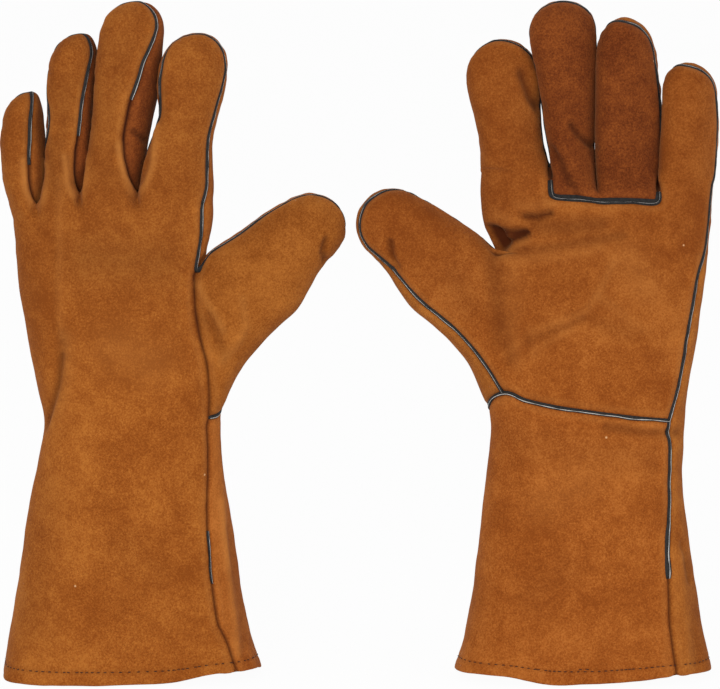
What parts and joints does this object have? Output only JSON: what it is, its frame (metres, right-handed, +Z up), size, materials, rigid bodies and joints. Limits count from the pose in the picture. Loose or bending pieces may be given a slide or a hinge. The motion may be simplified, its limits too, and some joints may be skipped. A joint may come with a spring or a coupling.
{
  "type": "welding gloves",
  "caption": "Long leather welding gauntlets with welted seams, a darker finger inset and a flared cuff that a forearm goes into; every digit bends.",
  "frame": {"origin": "middle of the pair, on the surface that both hems stand on", "axes": "+Z up from the hems to the fingertips, +X along the row of the two gloves to the viewer's right, +Y away from the viewer, who sees the first glove's back and the second glove's palm"},
  "size_m": [0.3714, 0.0662, 0.3554],
  "materials": {
    "back_leather": "brown split leather, napped",
    "palm_leather": "brown split leather, napped",
    "inset_leather": "darker red-brown split leather",
    "cuff_leather": "brown split leather, napped",
    "welting": "black welt with a grey middle line",
    "thread": "dark sewing thread",
    "lining": "brushed cotton lining"
  },
  "bodies": {
    "first_little_finger": {"first_little_finger_back": "back_leather", "first_little_finger_front": "palm_leather", "first_little_finger_welt": "welting", "first_little_finger_lining": "lining"},
    "first_ring_finger": {"first_ring_finger_back": "back_leather", "first_ring_finger_front": "inset_leather", "first_ring_finger_welt": "welting", "first_ring_finger_lining": "lining"},
    "first_middle_finger": {"first_middle_finger_back": "back_leather", "first_middle_finger_front": "inset_leather", "first_middle_finger_welt": "welting", "first_middle_finger_lining": "lining"},
    "first_index_finger": {"first_index_finger_back": "back_leather", "first_index_finger_front": "palm_leather", "first_index_finger_welt": "welting", "first_index_finger_lining": "lining"},
    "first_thumb": {"first_thumb_back": "back_leather", "first_thumb_front": "palm_leather", "first_thumb_welt": "welting", "first_thumb_lining": "lining"},
    "first_hand": {"first_back_panel": "back_leather", "first_cuff_panel": "cuff_leather", "first_hand_lining": "lining", "first_hem_stitches": "thread", "first_inset_panel": "inset_leather", "first_inset_welt": "welting", "first_palm_panel": "palm_leather", "first_side_welts": "welting", "first_thumb_back_panel": "back_leather", "first_wrist_welt": "welting"},
    "second_little_finger": {"second_little_finger_back": "back_leather", "second_little_finger_front": "palm_leather", "second_little_finger_welt": "welting", "second_little_finger_lining": "lining"},
    "second_ring_finger": {"second_ring_finger_back": "back_leather", "second_ring_finger_front": "inset_leather", "second_ring_finger_welt": "welting", "second_ring_finger_lining": "lining"},
    "second_middle_finger": {"second_middle_finger_back": "back_leather", "second_middle_finger_front": "inset_leather", "second_middle_finger_welt": "welting", "second_middle_finger_lining": "lining"},
    "second_index_finger": {"second_index_finger_back": "back_leather", "second_index_finger_front": "palm_leather", "second_index_finger_welt": "welting", "second_index_finger_lining": "lining"},
    "second_thumb": {"second_thumb_back": "back_leather", "second_thumb_front": "palm_leather", "second_thumb_welt": "welting", "second_thumb_lining": "lining"},
    "second_hand": {"second_back_panel": "back_leather", "second_cuff_panel": "cuff_leather", "second_hand_lining": "lining", "second_hem_stitches": "thread", "second_inset_panel": "inset_leather", "second_inset_welt": "welting", "second_palm_panel": "palm_leather", "second_side_welts": "welting", "second_thumb_back_panel": "back_leather", "second_wrist_welt": "welting"}
  },
  "joints": [
    {"name": "first_little_finger_bend", "type": "hinge", "parent": "first_hand", "child": "first_little_finger", "pos_m": [-0.175, 0.011, 0.252], "axis": [-0.9998, 0, -0.0175], "range_deg": [0, 70]},
    {"name": "first_ring_finger_bend", "type": "hinge", "parent": "first_hand", "child": "first_ring_finger", "pos_m": [-0.1558, 0.0132, 0.2585], "axis": [-0.9936, 0, 0.1132], "range_deg": [0, 70]},
    {"name": "first_middle_finger_bend", "type": "hinge", "parent": "first_hand", "child": "first_middle_finger", "pos_m": [-0.1294, 0.0138, 0.2593], "axis": [-0.9925, 0, 0.1219], "range_deg": [0, 70]},
    {"name": "first_index_finger_bend", "type": "hinge", "parent": "first_hand", "child": "first_index_finger", "pos_m": [-0.0944, 0.0136, 0.2563], "axis": [-0.9914, 0, 0.1305], "range_deg": [0, 70]},
    {"name": "first_thumb_bend", "type": "hinge", "parent": "first_hand", "child": "first_thumb", "pos_m": [-0.05275, 0.0165, 0.21227], "axis": [-0.6691, 0, 0.7431], "range_deg": [0, 40]},
    {"name": "second_little_finger_bend", "type": "hinge", "parent": "second_hand", "child": "second_little_finger", "pos_m": [0.1695, -0.013, 0.25651], "axis": [0.9993, 0, -0.0384], "range_deg": [0, 70]},
    {"name": "second_ring_finger_bend", "type": "hinge", "parent": "second_hand", "child": "second_ring_finger", "pos_m": [0.1389, -0.0136, 0.25679], "axis": [0.9997, 0, 0.0227], "range_deg": [0, 70]},
    {"name": "second_middle_finger_bend", "type": "hinge", "parent": "second_hand", "child": "second_middle_finger", "pos_m": [0.1115, -0.0136, 0.266], "axis": [0.9973, 0, 0.0732], "range_deg": [0, 70]},
    {"name": "second_index_finger_bend", "type": "hinge", "parent": "second_hand", "child": "second_index_finger", "pos_m": [0.0812, -0.0136, 0.2645], "axis": [0.9912, 0, 0.1323], "range_deg": [0, 70]},
    {"name": "second_thumb_bend", "type": "hinge", "parent": "second_hand", "child": "second_thumb", "pos_m": [0.04411, -0.01641, 0.21682], "axis": [0.6561, 0, 0.7547], "range_deg": [0, 40]},
    {"name": "second_glove_lift", "type": "slide", "parent": "first_hand", "child": "second_hand", "axis": [0, 0, 1], "range_m": [0, 0.3]}
  ]
}
